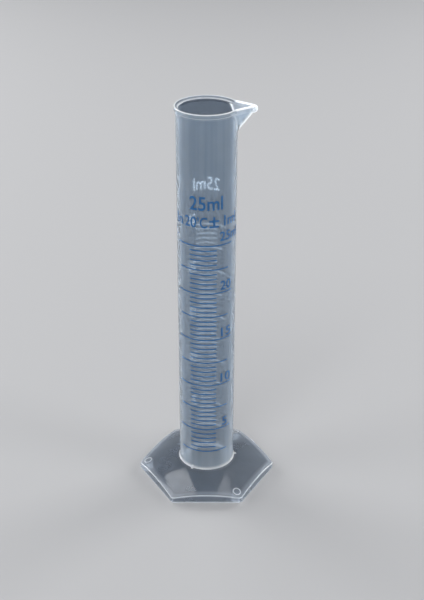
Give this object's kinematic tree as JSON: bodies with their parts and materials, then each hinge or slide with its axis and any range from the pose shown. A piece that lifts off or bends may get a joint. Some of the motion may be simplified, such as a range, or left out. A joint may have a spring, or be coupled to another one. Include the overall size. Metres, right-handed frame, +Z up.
{
  "type": "graduated cylinder",
  "caption": "Tall translucent measuring cylinder with a blue printed volume scale, a rolled lip with a V pouring spout, and a domed hexagonal foot.",
  "frame": {"origin": "on the tube's axis, in the plane that the three feet stand on", "axes": "+Z up along the tube, +X towards the pouring spout, printed scale facing -Y"},
  "size_m": [0.0514, 0.045, 0.1468],
  "materials": {
    "barrel_polypropylene": "translucent moulded, satin gloss",
    "base_polypropylene": "translucent moulded, glossy",
    "blue_ink": "printed ink film"
  },
  "bodies": {
    "root": {"barrel": "barrel_polypropylene", "hex_base": "base_polypropylene", "mark_02_5ml": "blue_ink", "mark_03_5ml": "blue_ink", "mark_03ml": "blue_ink", "mark_04_5ml": "blue_ink", "mark_04ml": "blue_ink", "mark_05_5ml": "blue_ink", "mark_05ml": "blue_ink", "mark_06_5ml": "blue_ink", "mark_06ml": "blue_ink", "mark_07_5ml": "blue_ink", "mark_07ml": "blue_ink", "mark_08_5ml": "blue_ink", "mark_08ml": "blue_ink", "mark_09_5ml": "blue_ink", "mark_09ml": "blue_ink", "mark_10_5ml": "blue_ink", "mark_10ml": "blue_ink", "mark_11_5ml": "blue_ink", "mark_11ml": "blue_ink", "mark_12_5ml": "blue_ink", "mark_12ml": "blue_ink", "mark_13_5ml": "blue_ink", "mark_13ml": "blue_ink", "mark_14_5ml": "blue_ink", "mark_14ml": "blue_ink", "mark_15_5ml": "blue_ink", "mark_15ml": "blue_ink", "mark_16_5ml": "blue_ink", "mark_16ml": "blue_ink", "mark_17_5ml": "blue_ink", "mark_17ml": "blue_ink", "mark_18_5ml": "blue_ink", "mark_18ml": "blue_ink", "mark_19_5ml": "blue_ink", "mark_19ml": "blue_ink", "mark_20_5ml": "blue_ink", "mark_20ml": "blue_ink", "mark_21_5ml": "blue_ink", "mark_21ml": "blue_ink", "mark_22_5ml": "blue_ink", "mark_22ml": "blue_ink", "mark_23_5ml": "blue_ink", "mark_23ml": "blue_ink", "mark_24_5ml": "blue_ink", "mark_24ml": "blue_ink", "mark_25ml": "blue_ink", "numeral_10_tens": "blue_ink", "numeral_10_units": "blue_ink", "numeral_15_tens": "blue_ink", "numeral_15_units": "blue_ink", "numeral_20_tens": "blue_ink", "numeral_20_units": "blue_ink", "numeral_25_tens": "blue_ink", "numeral_25_units": "blue_ink", "numeral_5": "blue_ink", "support_foot_1": "base_polypropylene", "support_foot_2": "base_polypropylene", "support_foot_3": "base_polypropylene"}
  },
  "joints": []
}
